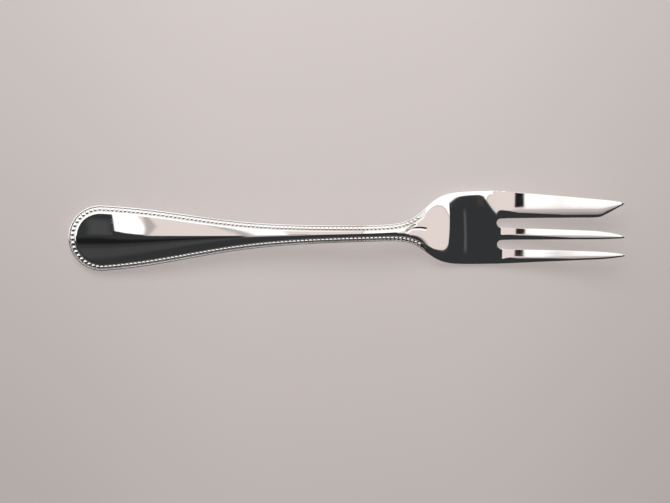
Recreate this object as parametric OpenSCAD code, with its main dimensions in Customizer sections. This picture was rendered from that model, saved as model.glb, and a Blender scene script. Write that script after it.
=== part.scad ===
// Pastry fork, struck from one piece of metal, drawn, bent and polished all over.
// +X runs from the handle's end to the points, +Y is the cutting side, and +Z is up as it lies on a table.
// The origin is on the table, under the middle of the fork's length.

/* [Lengths] */
// Handle's end to the narrowest part of the neck
handle_length = 81.5; // [76:0.5:88]
// Narrowest part of the neck to the end of the shoulder
neck_length = 17.5; // [16:0.5:20]
// End of the shoulder to the bottom of the slots
head_length = 17.3; // [14:0.1:20]
// Bottom of the slots to the points
tine_length = 33.7; // [30:0.1:38]

/* [Outline seen from above] */
// Handle's greatest width
handle_width = 17.8; // [15:0.1:20]
// Length of the handle's rounded end
end_reach = 9.8; // [8:0.1:11]
// Handle's end to where its taper is steepest
taper_middle = 32.6; // [30:0.1:36]
// Softness of the handle's taper
taper_run = 11.8; // [10.5:0.1:13]
// Neck's least width
neck_width = 4.5; // [4.2:0.1:5.4]
// Narrowest part of the neck to where the shoulder is steepest
shoulder_middle = 15.5; // [14.8:0.1:16]
// Softness of the shoulder
shoulder_run = 2.4; // [2.1:0.1:2.6]
// Head's greatest width
head_width = 20; // [18:0.1:22]

/* [Side profile] */
// Slope of the handle's last stretch
end_slope = 0.23; // [0.18:0.01:0.25]
// Slope of the handle
handle_slope = 0.095; // [0.08:0.005:0.11]
// Slope of the tines where they leave the head
tine_slope = 0.155; // [0.12:0.005:0.18]
// Slope of the tines near the points
point_slope = 0.238; // [0.21:0.002:0.27]
// Handle's end to its last bend
end_bend_at = 9; // [7:0.5:11]
// Softness of the last bend
end_bend_run = 3.5; // [2.5:0.1:4]
// Narrowest part of the neck to the bend where it turns down
neck_bend_at = 7; // [6:0.1:7.5]
// Softness of that bend
neck_bend_run = 2.6; // [2.2:0.1:3]
// End of the shoulder to the bend into the belly
belly_bend_at = 4; // [3:0.1:4.5]
// Softness of that bend
belly_bend_run = 2; // [1.8:0.1:2.4]
// Bend out of the belly to the bottom of the slots
tine_bend_before = 3.2; // [2.6:0.1:3.6]
// Softness of that bend
tine_bend_run = 2.4; // [2:0.1:2.8]
// Bottom of the slots to the tines' soft bend
point_bend_at = 6.3; // [5:0.1:8]
// Softness of that bend
point_bend_run = 5; // [4:0.1:6]
// Slope of the points themselves
tip_slope = 0.246; // [0.22:0.002:0.28]
// Last bend to the points
tip_bend_before = 9; // [7:0.5:11]
// Softness of the last bend
tip_bend_run = 2; // [1.5:0.1:2.5]

/* [Thickness] */
// At the handle's end
end_thickness = 1.9; // [1.7:0.05:2.2]
// Along the middle of the handle
handle_thickness = 2.2; // [2:0.05:2.5]
// At the arch of the neck
neck_thickness = 3.1; // [2.7:0.05:3.4]
// At the belly of the head
head_thickness = 1.95; // [1.8:0.05:2.3]
// Near the points
point_thickness = 1.2; // [1:0.05:1.4]
// Depth of the polished flat that the belly rests on
rest_depth = 0.06; // [0.03:0.01:0.1]

/* [Crown and edges] */
// Fall from the middle to the edge at the handle's end
crown_end = 0.45; // [0.35:0.05:0.6]
// Fall from the middle to the edge at the neck
crown_neck = 0.9; // [0.7:0.05:1]
// Fall that stays across the head
crown_head = 0.12; // [0.05:0.01:0.2]
// Width of the rounding along the rim beside the beads
rim_round = 0.2; // [0.12:0.01:0.22]
// Depth of that rounding
rim_round_depth = 0.08; // [0.05:0.01:0.12]
// Width of the rounding along the edge of the head
head_round = 1; // [0.7:0.05:1.2]
// Depth of the rounding along the edge of the head
head_round_depth = 0.32; // [0.2:0.01:0.45]
// Width of the rounding under the edges
under_round = 0.9; // [0.6:0.05:1]
// Depth of the rounding under the edges
under_round_depth = 0.4; // [0.3:0.05:0.45]
// Rise of the underside from the middle to the edge
under_crown = 0.12; // [0.05:0.01:0.15]

/* [Bead border] */
// Width of the plain rim round the handle's end
rim_end = 0.3; // [0.26:0.01:0.36]
// Width of the plain rim along the stem
rim_stem = 0.23; // [0.22:0.01:0.26]
// Depth of the channel that the beads stand in, below the rim
channel_depth = 0.16; // [0.12:0.01:0.22]
// Height of the raised panel above the rim
panel_rise = 0.15; // [0.08:0.01:0.2]
// Slope by which the border falls outward
border_slope = 0.3; // [0.24:0.01:0.32]
// Bead's diameter at the handle's end
bead_end = 1.24; // [1:0.01:1.26]
// Bead's diameter along the stem
bead_stem = 1; // [0.8:0.01:1.02]
// Angle from the top of a bead's dome to its foot, in degrees
bead_angle = 44; // [38:1:55]
// Gap between beads round the end
bead_gap_end = 0.04; // [0.03:0.01:0.3]
// Gap between beads along the stem
bead_gap_stem = 0.09; // [0.05:0.01:0.3]
// Gap between a bead and the channel's walls
bead_side_gap = 0.04; // [0.03:0.01:0.1]
// Gap under a bead
bead_seat_gap = 0.02; // [0.01:0.005:0.04]
// Width of the panel's rounded margin at the handle's end
margin_end = 0.7; // [0.5:0.05:0.8]
// Width of the panel's rounded margin along the stem
margin_stem = 0.45; // [0.3:0.05:0.5]
// Narrowest part of the neck to the border's end
border_past_neck = 14.2; // [12:0.1:14.4]

/* [Tines] */
// Width of both slots at their bottoms
slot_width = 2.35; // [2:0.05:2.8]
// Middle of the slot beside the cutting tine
cutting_slot_y = 1.2; // [0.9:0.05:1.5]
// Middle of the slot beside the outer tine
outer_slot_y = -4.65; // [-4.9:0.05:-4.4]
// Taper of the cutting tine's outer edge
cutting_taper = 0.1; // [0.07:0.002:0.12]
// Taper of the outer tine's outer edge
outer_taper = 0.042; // [0.03:0.002:0.06]
// Taper of the outer tine's inner edge
outer_inner_taper = 0.034; // [0.02:0.002:0.05]
// Taper of the middle tine's edge that faces the cutting tine
middle_taper = 0.044; // [0.03:0.002:0.05]
// Length of the middle tine's point
middle_point = 9; // [7:0.1:11]
// Length of the outer tine's point
outer_point = 7.5; // [6:0.1:9]
// Share of the middle tine's point that is taken from the side of the cutting tine
middle_skew = 0.8; // [0.6:0.05:0.9]
// Length of the cutting tine's slanted end
cutting_slant_length = 6.4; // [5:0.1:8]
// Slant of that end, across the tine for each mm along it
cutting_slant = 0.57; // [0.5:0.01:0.6]
// Softness of the corner where the slant begins
cutting_slant_run = 0.5; // [0.3:0.05:0.8]
// Length over which the cutting tine's outer edge rounds in to its point
cutting_point = 4; // [3:0.1:5]
// Width of the rounding along a tine's -Y edge near the head
root_round = 2.2; // [1.6:0.05:2.4]
// Depth of that rounding
root_round_depth = 0.36; // [0.25:0.01:0.45]
// Width of the rounding along a tine's -Y edge towards the point
slim_round = 0.5; // [0.3:0.05:0.7]
// Depth of that rounding
slim_round_depth = 0.22; // [0.1:0.01:0.3]
// Width of the rounding along a tine's +Y edge
high_round = 0.12; // [0.08:0.01:0.4]
// Depth of that rounding
high_round_depth = 0.06; // [0.04:0.01:0.12]
// Slope by which the middle tine's top leans to the cutting side
middle_lean = 0.035; // [0.02:0.005:0.05]
// Slope by which the outer tine's top leans the same way
outer_lean = 0.055; // [0.03:0.005:0.07]
// Width over which the cutting tine's top falls towards the slot
cutting_fall_width = 2.6; // [2:0.1:3]
// Width over which the slim tines' tops fall towards their -Y edges
slim_fall_width = 1.4; // [1:0.1:1.6]
// Slope that this fall reaches at the edge
side_slope = 0.075; // [0.05:0.005:0.1]
// Length of the blunt rounding at each point
point_round = 0.6; // [0.4:0.05:0.8]
// Width that a point is blunted from
point_width = 0.45; // [0.3:0.05:0.6]

/* [Hidden] */

fork_length = handle_length + neck_length + head_length + tine_length;
x_end = -fork_length / 2;
x_round = x_end + end_reach;
x_taper = x_end + taper_middle;
x_neck = x_end + handle_length;
x_shoulder = x_neck + shoulder_middle;
x_head = x_neck + neck_length;
x_slots = x_head + head_length;
x_tip = x_slots + tine_length;
x_border_end = x_neck + border_past_neck;
belly_share = 0.6;      // share of the head's length where the belly touches the table
x_belly = x_head + belly_share * head_length;
arch_past_neck = 1.5;   // from the narrowest part of the neck to its thickest
x_arch = x_neck + arch_past_neck;
belly_slope = -0.02;    // slope of the belly where it touches the table
end_rest_share = 0.4;   // share of the rounding underneath that the handle's end is lowered by
end_swell = 15;         // length over which the handle's end thickens to the handle
neck_swell = 36;        // length over which the handle thickens to the neck
crown_change_at = 26;   // from the narrowest part of the neck back to where the crown changes
crown_change_run = 12;
crown_fade_run = 2.5;   // softness with which the crown flattens past the shoulder

metal = [0.83, 0.81, 0.8];
bead_metal = [0.88, 0.87, 0.86];
channel_wall = 0.05;   // run of the channel's steep walls
border_fade = 1.6;     // length over which the channel runs out past the last bead
stem_growth = 0.35;    // share of the beads' growth that they have reached where the end begins to round
margin_share = 0.6;    // share of the channel's depth that the panel's margin rounds over
slot_flat = 0.05;      // depth of the flat at a slot's bottom
side_line_run = 1;     // softness with which the outer edges turn in past the slots
lean_growth = 1.6;     // length over which the tines gain their lean and fall
edge_growth = 4;       // length over which they gain their roundings
slimming_run = 20;     // length over which the rounding along their -Y edges narrows
point_power = 0.8;     // fullness of the slim tines' points
cutting_power = 1.7;   // fullness of the cutting tine's outer corner
blunt_share = 0.97;    // how far a point is rounded off before its small flat
probe = 0.05;          // half the step that slopes are measured over
straight_steps = 34;   // sections along the handle
end_steps = 30;        // rows round the handle's end
neck_steps = 18;
head_steps = 14;
tine_steps = 8;
across_steps = 10;     // facets across the top of a tine

// ---- soft steps and bends ----
function ease(d, run) = 1 / (1 + exp(-d / run));
function bend(d, run) = run * ln(1 + exp(d / run));
function ramp(x, a, b) = let (t = max(0, min(1, (x - a) / (b - a)))) t * t * (3 - 2 * t);
function mix(a, b, t) = a + (b - a) * t;
// Fall of a quarter-round of this width and depth, at a distance in from the edge
function quarter(d, width, depth) = depth * (1 - sqrt(1 - pow(1 - max(0, min(1, d / width)), 2)));

// ---- outline: a taper along the handle and a flare at the shoulder ----
function taper(x) = ease(x_taper - x, taper_run);
function flare(x) = ease(x - x_shoulder, shoulder_run);
taper_gain = (handle_width - neck_width) / 2 / (taper(x_round) - taper(x_neck));
neck_to_head = (head_width - neck_width) / 2 + taper_gain * (taper(x_neck) - taper(x_slots));
flare_gain = neck_to_head / (flare(x_slots) - flare(x_neck));
function half_width(x) = neck_width / 2 + taper_gain * (taper(x) - taper(x_neck))
    + flare_gain * (flare(x) - flare(x_neck));
function widening(x) = (half_width(x + probe) - half_width(x - probe)) / (2 * probe);

// ---- thickness ----
function thickness(x) = end_thickness
    + (handle_thickness - end_thickness) * ramp(x, x_end, x_end + end_swell)
    + (neck_thickness - handle_thickness) * ramp(x, x_neck - neck_swell, x_arch)
    + (head_thickness - neck_thickness) * ramp(x, x_arch, x_belly)
    + (point_thickness - head_thickness) * ramp(x, x_belly, x_tip);

// ---- side profile: straight runs joined by soft bends ----
// The neck's fall is worked out so that both the handle's end and the belly touch the table.
bends_x = [x_end + end_bend_at, x_neck + neck_bend_at, x_head + belly_bend_at,
    x_slots - tine_bend_before, x_slots + point_bend_at, x_tip - tip_bend_before];
bends_run = [end_bend_run, neck_bend_run, belly_bend_run, tine_bend_run, point_bend_run, tip_bend_run];
function bent(i, x) = bend(x - bends_x[i], bends_run[i]) - bend(x_end - bends_x[i], bends_run[i]);
belly_height = head_thickness - rest_depth;
end_height = end_thickness - end_rest_share * under_round_depth;
rise_without_fall = end_height + end_slope * (x_belly - x_end)
    + (handle_slope - end_slope) * bent(0, x_belly) - handle_slope * bent(1, x_belly)
    + belly_slope * bent(2, x_belly) + (tine_slope - belly_slope) * bent(3, x_belly)
    + (point_slope - tine_slope) * bent(4, x_belly) + (tip_slope - point_slope) * bent(5, x_belly);
fall_slope = (belly_height - rise_without_fall) / (bent(1, x_belly) - bent(2, x_belly));
function middle_height(x) = end_height + end_slope * (x - x_end)
    + (handle_slope - end_slope) * bent(0, x) + (fall_slope - handle_slope) * bent(1, x)
    + (belly_slope - fall_slope) * bent(2, x) + (tine_slope - belly_slope) * bent(3, x)
    + (point_slope - tine_slope) * bent(4, x) + (tip_slope - point_slope) * bent(5, x);

// ---- crown across the fork ----
function crown(x) = crown_head
    + mix(crown_end, crown_neck, ease(x - x_neck + crown_change_at, crown_change_run))
    * ease(x_head - x, crown_fade_run);
function crowned(x, y) = middle_height(x) - crown(x) * pow(y / half_width(x), 2);

// ---- bead border: rim, channel and the panel's rounded margin, by distance in from the edge ----
function toward_end(x) = max(0, min(1, (taper(x) - taper(x_neck)) / (taper(x_round) - taper(x_neck))));
function bead_growth(x) = mix(stem_growth * toward_end(x), 1, ramp(x_round - x, 0, end_reach));
function bead_size(x) = mix(bead_stem, bead_end, bead_growth(x));
function bead_gap(x) = mix(bead_gap_stem, bead_gap_end, bead_growth(x));
function rim(x) = mix(rim_stem, rim_end, toward_end(x));
function channel_start(x) = rim(x) + channel_wall;
function bead_inset(x) = channel_start(x) + bead_side_gap + bead_size(x) / 2;
function channel_stop(x) = bead_inset(x) + bead_size(x) / 2 + bead_side_gap;
function panel_start(x) = channel_stop(x) + mix(margin_stem, margin_end, toward_end(x));
function in_border(x) = 1 - ramp(x, x_border_end + bead_stem / 2, x_border_end + border_fade);
// What the border slopes out by more than the crown does there, and how far it falls for that
function border_lean(x) = border_slope - 2 * crown(x) * (1 - bead_inset(x) / half_width(x)) / half_width(x);
function border_fall(x, d) = border_lean(x) * max(0, channel_stop(x) - d);
// The panel's margin rises steeply from the channel, then rounds over
function margin_fall(x, d) = quarter(d - channel_stop(x) - channel_wall,
    panel_start(x) - channel_stop(x) - channel_wall, margin_share * (panel_rise + channel_depth));
function edge_round(x) = mix(head_round, rim_round, in_border(x));
function edge_depth(x) = mix(head_round_depth, rim_round_depth, in_border(x));

// Marks of one half section on top, as [distance in from the edge, height against the crown].
// With the border they follow its rim, channel and margin, and past it they follow the edge's rounding.
function top_marks(x) = let (b = in_border(x), start = channel_start(x), stop = channel_stop(x),
    wall_top = stop + channel_wall, m = panel_start(x) - wall_top, floor = -panel_rise - channel_depth,
    bordered = [[0, -panel_rise], [0.3 * rim_round, -panel_rise], [rim_round, -panel_rise],
        [rim(x), -panel_rise], [start, floor], [stop, floor], [wall_top, -margin_fall(x, wall_top)],
        [wall_top + 0.2 * m, -margin_fall(x, wall_top + 0.2 * m)],
        [wall_top + 0.5 * m, -margin_fall(x, wall_top + 0.5 * m)], [wall_top + m, 0]]
) [for (i = [0:9]) let (mark = bordered[i], d = mix(plain_marks[i] * head_round, mark[0], b))
    [d, b * (mark[1] - border_fall(x, mark[0])) - quarter(d, edge_round(x), edge_depth(x))]];
plain_marks = [0, 0.015, 0.05, 0.11, 0.19, 0.29, 0.41, 0.56, 0.75, 1];
under_marks = [0, 0.12, 0.4, 1];

function under_height(x, y, d) = max(0, middle_height(x) - thickness(x)
    + under_crown * pow(y / half_width(x), 2) + quarter(d, under_round, under_round_depth));
function under_point(q, d) = [q[0], q[1], under_height(q[0], q[1], d)];
function top_point(q, lift) = [q[0], q[1], crowned(q[0], q[1]) + lift];

// Half of a section, from the middle underneath, out round the edge and back to the middle on top.
// It starts at the edge point p, looks in along direction, and ends over the point [centre_x, 0].
function half_section(p, direction, centre_x) = let (
    marks = top_marks(p[0]),
    inner = p + direction * marks[9][0],
    deep = p + direction * under_round,
    centre = [centre_x, 0]
) concat(
    [for (t = [0, 0.5]) under_point(mix(centre, deep, t), under_round)],
    [for (i = [3:-1:0]) let (d = under_marks[i] * under_round) under_point(p + direction * d, d)],
    [for (mark = marks) top_point(p + direction * mark[0], mark[1])],
    [for (t = [0.67, 0.33, 0]) top_point(mix(centre, inner, t), 0)]
);
half_count = 19;
under_count = 6;
// Pairs of [place underneath, place on top], counted in from the edge, that an end face is zipped along
zip = [[0, 0], [0, 1], [1, 1], [1, 2], [1, 3], [2, 3], [2, 4], [3, 4], [3, 5], [3, 6], [3, 7], [3, 8],
    [3, 9], [4, 9], [4, 10], [4, 11], [5, 11], [5, 12]];

// A full section across the fork at x, as one ring of points
function whole_section(x) = let (
    slope = widening(x),
    side = half_section([x, half_width(x)], [0, -sqrt(1 + slope * slope)], x)
) concat(side, [for (i = [half_count - 2:-1:1]) [side[i][0], -side[i][1], side[i][2]]]);
ring_count = 2 * half_count - 2;

// ---- faces between rings of n points, from low x to high x, and faces that close an end ----
function joined(lists) = [for (list = lists) for (item = list) item];
function skin(rings, n) = joined([for (i = [0:rings - 2], j = [0:n - 1])
    let (a = i * n + j, b = i * n + (j + 1) % n) [[a, a + n, b + n], [a, b + n, b]]]);
function flipped(faces) = [for (f = faces) [f[2], f[1], f[0]]];

// End of a whole section, zipped from both edges to the middle
function under_index(k) = under_count - 1 - k;
function top_index(k) = under_count + k;
function across(i) = (ring_count - i) % ring_count;
function zipped_half() = [for (k = [0:len(zip) - 2]) let (a = zip[k], b = zip[k + 1])
    [under_index(a[0]), top_index(a[1]), b[0] > a[0] ? under_index(b[0]) : top_index(b[1])]];
function zipped(first) = let (
    half = zipped_half(),
    other = [for (h = half) [across(h[2]), across(h[1]), across(h[0])]]
) [for (f = concat(half, other)) f + [first, first, first]];

// End of a section whose points lie in pairs, one above the other
function paired(first, n) = joined([for (i = [0:n / 2 - 2]) let (a = first + i, b = first + n - 1 - i)
    [[a, a + 1, b - 1], [a, b - 1, b]]]);

module loft(sections, near, far) {
    rings = len(sections);
    n = len(sections[0]);
    polyhedron(points = joined(sections), faces = concat(near, skin(rings, n), flipped(far)));
}

module paired_loft(sections) {
    n = len(sections[0]);
    loft(sections, paired(0, n), paired((len(sections) - 1) * n, n));
}

module stretch(x_from, x_to, steps) {
    sections = [for (i = [0:steps]) whole_section(mix(x_from, x_to, i / steps))];
    loft(sections, zipped(0), zipped(steps * ring_count));
}

// ---- handle: sections along the taper, and a fan of half sections round the end ----
function end_section(angle) = let (
    x = x_round + end_reach * cos(angle),
    out = [cos(angle) / end_reach, 2 * sin(angle) / handle_width],
    half = half_section([x, half_width(x) * sin(angle)], -out / norm(out), x_round)
) [for (i = [1:half_count - 2]) half[i]];

function row(r, first) = r == 0 ? [for (i = [0:half_count - 1]) i]
    : r == end_steps ? concat([0], [for (i = [ring_count - 1:-1:half_count - 1]) i])
    : concat([0], [for (i = [0:half_count - 3]) first + (r - 1) * (half_count - 2) + i], [half_count - 1]);
function fan(first) = joined([for (r = [0:end_steps - 1]) let (a = row(r, first), b = row(r + 1, first))
    concat([[b[0], a[1], b[1]]],
        joined([for (j = [1:half_count - 3]) [[b[j], a[j], a[j + 1]], [b[j], a[j + 1], b[j + 1]]]]),
        [[b[half_count - 2], a[half_count - 2], a[half_count - 1]]])]);

module handle() {
    sections = [for (i = [0:straight_steps]) whole_section(mix(x_round, x_neck, i / straight_steps))];
    rings = len(sections);
    end_rows = [for (r = [1:end_steps - 1]) end_section(90 + 180 * r / end_steps)];
    color(metal)
        polyhedron(
            points = concat(joined(sections), joined(end_rows)),
            faces = concat(skin(rings, ring_count), flipped(zipped(straight_steps * ring_count)),
                fan(rings * ring_count))
        );
}

// ---- beads: small domes seated in the channel, down both sides and round the end ----
// Point of the outline at a distance u past the start of the rounded end, or short of it where u is negative
function outline(u) = u > 0 ? [x_round + u, half_width(x_round + u)]
    : let (angle = -u / end_reach * 180 / PI, x = x_round - end_reach * sin(angle))
        [x, half_width(x) * cos(angle)];
function bead_inward(u) = let (along = outline(u + probe) - outline(u - probe))
    [along[1], -along[0]] / norm(along);
function bead_place(u) = outline(u) + bead_inward(u) * bead_inset(outline(u)[0]);
function bead_step(u) = let (
    x = outline(u)[0],
    speed = norm(bead_place(u + probe) - bead_place(u - probe)) / (2 * probe)
) (bead_size(x) + bead_gap(x)) / speed;
end_middle = -end_reach * PI / 2;
first_bead = end_middle + bead_step(end_middle);
bead_marks = [for (u = first_bead; bead_place(u)[0] < x_border_end; u = u + bead_step(u)) u];

module bead(u) {
    p = bead_place(u);
    x = outline(u)[0];
    radius = bead_size(x) / 2 / sin(bead_angle);
    lean = border_lean(x) * bead_inward(u);
    slope_x = (crowned(p[0] + probe, p[1]) - crowned(p[0] - probe, p[1])) / (2 * probe) + lean[0];
    slope_y = (crowned(p[0], p[1] + probe) - crowned(p[0], p[1] - probe)) / (2 * probe) + lean[1];
    floor = crowned(p[0], p[1]) - panel_rise - channel_depth - border_fall(x, bead_inset(x));
    translate([p[0], p[1], floor + bead_seat_gap])
        rotate([atan(slope_y), -atan(slope_x), 0])
            intersection() {
                translate([0, 0, -radius * cos(bead_angle)])
                    sphere(r = radius, $fn = 24);
                translate([-radius, -radius, 0])
                    cube(2 * radius);
            }
}

module bead_border() {
    color(bead_metal) {
        bead(end_middle);
        for (u = bead_marks) {
            bead(u);
            mirror([0, 1, 0])
                bead(u);
        }
    }
}

// ---- neck and head ----
module neck() {
    color(metal)
        stretch(x_neck, x_head, neck_steps);
}

module head() {
    color(metal)
        stretch(x_head, x_slots, head_steps);
}

// ---- tines: each is bounded by two edges, given as y at every x ----
slot_radius = slot_width / 2;
function past_slots(x) = x - x_slots;
// Half the slot's width, which opens as a half circle
function opened(x) = let (d = min(slot_radius, past_slots(x) + slot_flat))
    sqrt(d * (2 * slot_radius - d));
function side_line(x, fall) = half_width(x)
    - fall * (bend(past_slots(x), side_line_run) - bend(0, side_line_run));
// Share of its width that a point keeps
function pointed(x, length) = let (t = max(0, 1 - (x_tip - x) / length)) pow(1 - t * t, point_power);

function cutting_inner(x) = cutting_slot_y + opened(x)
    + cutting_slant * bend(x - x_tip + cutting_slant_length, cutting_slant_run);
function cutting_edges(x) = let (t = max(0, 1 - (x_tip - x) / cutting_point))
    [cutting_inner(x),
        mix(side_line(x, cutting_taper), cutting_inner(x_tip) + point_width, pow(t, cutting_power))];

function narrowed(low, high, keep, skew) = let (lost = (high - low - point_width) * (1 - keep))
    [low + lost * (1 - skew), high - lost * skew];
function middle_edges(x) = narrowed(outer_slot_y + opened(x),
    cutting_slot_y - opened(x) - middle_taper * past_slots(x), pointed(x, middle_point), middle_skew);
function outer_edges(x) = narrowed(-side_line(x, outer_taper),
    outer_slot_y - opened(x) - outer_inner_taper * past_slots(x), pointed(x, outer_point), 0.5);

// How far a tine's lean and its roundings have grown since the slots' bottoms, from 0 to 1
function leaning(x) = ramp(past_slots(x), 0, lean_growth);
function grown(x) = ramp(past_slots(x), 0, edge_growth);
// How far the rounding along a tine's -Y edge has narrowed
function slimmed(x) = max(0, min(1, past_slots(x) / slimming_run));
function low_round(x) = mix(root_round, slim_round, slimmed(x));
function low_round_depth(x) = mix(root_round_depth, slim_round_depth, slimmed(x));
// Rounding along an edge, as [width, depth on top, depth underneath]
function slot_low(x) = [low_round(x), low_round_depth(x) * grown(x), under_round_depth * grown(x)];
function slot_high(x) = [high_round, high_round_depth * grown(x), under_round_depth * grown(x)];
// The fork's outer edges go on from the head's rounding
function outer_low(x) = [mix(head_round, low_round(x), grown(x)),
    mix(head_round_depth, low_round_depth(x), grown(x)), under_round_depth];
function outer_high(x) = [mix(head_round, high_round, grown(x)),
    mix(head_round_depth, high_round_depth, grown(x)), under_round_depth];

// Section of a tine between its edges, blunted over the last bit before the point. Its top leans to +Y by
// the slope lean, about a line a quarter of the way from its -Y edge. It falls to that edge over fall_width,
// or over half the tine where that is less.
function tine_section(x, edges, low_side, high_side, lean, fall_width) = let (
    y_mid = (edges[0] + edges[1]) / 2,
    half = (edges[1] - edges[0]) / 2,
    z_mid = middle_height(x) - thickness(x) / 2,
    blunt = max(0, 1 - (x_tip - x) / point_round) * blunt_share,
    keep = sqrt(1 - blunt * blunt),
    low_width = min(half, low_side[0]),
    high_width = min(half, high_side[0]),
    under_width = min(half, under_round),
    fall_run = min(half, fall_width),
    places = [for (i = [0:across_steps]) half * cos(180 * i / across_steps)],
    under = [for (t = places) [y_mid - t, max(0, middle_height(x) - thickness(x)
        + quarter(half - t, under_width, low_side[2]) + quarter(half + t, under_width, high_side[2]))]],
    top = [for (t = places) [y_mid + t, crowned(x, y_mid + t)
        - quarter(half + t, low_width, low_side[1]) - quarter(half - t, high_width, high_side[1])
        - leaning(x) * (lean * (t + half / 2)
            + side_slope * fall_run / 2 * pow(max(0, 1 - (half + t) / fall_run), 2))]]
) [for (q = concat(under, top)) [x, y_mid + (q[0] - y_mid) * keep, z_mid + (q[1] - z_mid) * keep]];

// Sections crowd together at the slot's half circle and at the point
tine_marks = concat(
    [for (share = [0, 0.07, 0.25, 0.55, 1]) x_slots + share * slot_radius],
    [for (i = [1:tine_steps]) mix(x_slots + slot_radius, x_tip - middle_point, i / tine_steps)],
    [for (i = [1:tine_steps]) mix(x_tip - middle_point, x_tip - point_round, i / tine_steps)],
    [for (share = [0.35, 0.65, 0.88, 1]) x_tip - point_round * (1 - share)]
);

module cutting_tine() {
    color(metal)
        paired_loft([for (x = tine_marks)
            tine_section(x, cutting_edges(x), slot_low(x), outer_high(x), 0, cutting_fall_width)]);
}

module middle_tine() {
    color(metal)
        paired_loft([for (x = tine_marks)
            tine_section(x, middle_edges(x), slot_low(x), slot_high(x), middle_lean, slim_fall_width)]);
}

module outer_tine() {
    color(metal)
        paired_loft([for (x = tine_marks)
            tine_section(x, outer_edges(x), outer_low(x), slot_high(x), outer_lean, slim_fall_width)]);
}

handle();
bead_border();
neck();
head();
cutting_tine();
middle_tine();
outer_tine();
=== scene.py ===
import math
import bpy
import numpy as np
from mathutils import Matrix, Vector


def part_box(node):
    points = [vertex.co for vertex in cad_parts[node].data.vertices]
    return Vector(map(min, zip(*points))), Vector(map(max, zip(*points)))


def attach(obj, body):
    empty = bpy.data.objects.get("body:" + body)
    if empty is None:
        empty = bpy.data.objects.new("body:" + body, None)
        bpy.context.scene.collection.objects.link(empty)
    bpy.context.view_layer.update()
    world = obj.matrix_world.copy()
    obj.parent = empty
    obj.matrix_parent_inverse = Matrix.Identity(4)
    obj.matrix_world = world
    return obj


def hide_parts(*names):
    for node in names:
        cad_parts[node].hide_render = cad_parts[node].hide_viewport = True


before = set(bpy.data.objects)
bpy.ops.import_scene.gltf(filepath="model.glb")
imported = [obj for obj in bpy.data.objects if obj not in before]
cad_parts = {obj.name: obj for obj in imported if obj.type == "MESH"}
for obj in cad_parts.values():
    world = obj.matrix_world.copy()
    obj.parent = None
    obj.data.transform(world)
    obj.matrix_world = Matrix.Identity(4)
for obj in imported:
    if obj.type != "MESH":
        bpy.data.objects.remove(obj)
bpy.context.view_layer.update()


# ==== Handle ====
# The end that the fingers hold: a strip of stainless steel cut to a long waisted outline, struck between
# dies so that its top is crowned and has a channel for the beads inside a plain rim, then polished bright.
MM = 0.001


def corners_mm(node):
    """Lowest and highest corner of a CAD piece, in millimetres."""
    low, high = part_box(node)
    return np.array(low) / MM, np.array(high) / MM


# The CAD pieces' corners give the places along the fork, and the other sizes are in millimetres
handle_low, handle_high = corners_mm("handle")
x_end, x_neck = handle_low[0], handle_high[0]
x_head = corners_mm("neck")[1][0]
x_slots = corners_mm("head")[1][0]
x_tip = corners_mm("cutting_tine")[1][0]
handle_width = handle_high[1] - handle_low[1]
head_width = 2 * corners_mm("head")[1][1]
end_reach, taper_middle, taper_run = 9.8, 32.6, 11.8
neck_width, shoulder_middle, shoulder_run = 4.5, 15.5, 2.4
belly_share, border_past_neck = 0.6, 14.2
x_round, x_taper = x_end + end_reach, x_end + taper_middle
x_shoulder, x_border_end = x_neck + shoulder_middle, x_neck + border_past_neck
x_belly = x_head + belly_share * (x_slots - x_head)


def ease(d, run):
    """Soft step from 0 to 1: one over one plus e to the minus d over run."""
    return 1 / (1 + np.exp(-d / run))


def bend(d, run):
    """Soft corner: 0 well before d = 0, and d itself well past it."""
    return run * np.logaddexp(0, d / run)


def ramp(x, a, b):
    """Smooth step: 0 up to a, 1 from b on, three t squared less two t cubed between them."""
    t = np.clip((x - a) / (b - a), 0, 1)
    return t * t * (3 - 2 * t)


def mix(a, b, t):
    """a where t is 0, b where t is 1, and in proportion between them."""
    return a + (b - a) * t


def quarter(d, width, depth):
    """Fall of a quarter round at a distance d in from an edge: all of depth at the edge, none past width."""
    t = np.clip(d / width, 0, 1)
    return depth * (1 - np.sqrt(1 - (1 - t) ** 2))


def taper(x):
    """1 well along the handle, falling softly to 0 past the neck."""
    return ease(x_taper - x, taper_run)


def flare(x):
    """0 before the shoulder, rising softly to 1 over the head."""
    return ease(x - x_shoulder, shoulder_run)


taper_gain = (handle_width - neck_width) / 2 / (taper(x_round) - taper(x_neck))
flare_gain = ((head_width - neck_width) / 2 + taper_gain * (taper(x_neck) - taper(x_slots))) \
    / (flare(x_slots) - flare(x_neck))


def half_width(x):
    """Half the fork's width: the neck's, plus a soft taper to the handle and a soft flare to the head."""
    return (neck_width / 2 + taper_gain * (taper(x) - taper(x_neck))
            + flare_gain * (flare(x) - flare(x_neck)))


end_thickness, handle_thickness, neck_thickness, head_thickness, point_thickness = 1.9, 2.2, 3.1, 1.95, 1.2
end_swell, neck_swell, arch_past_neck = 15, 36, 1.5
x_arch = x_neck + arch_past_neck


def thickness(x):
    """Thickness over the middle line, which runs smoothly from each named thickness to the next."""
    return (end_thickness + (handle_thickness - end_thickness) * ramp(x, x_end, x_end + end_swell)
            + (neck_thickness - handle_thickness) * ramp(x, x_neck - neck_swell, x_arch)
            + (head_thickness - neck_thickness) * ramp(x, x_arch, x_belly)
            + (point_thickness - head_thickness) * ramp(x, x_belly, x_tip))


under_round, under_round_depth, under_crown = 0.9, 0.4, 0.12
rest_depth, end_rest_share = 0.06, 0.4
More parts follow.
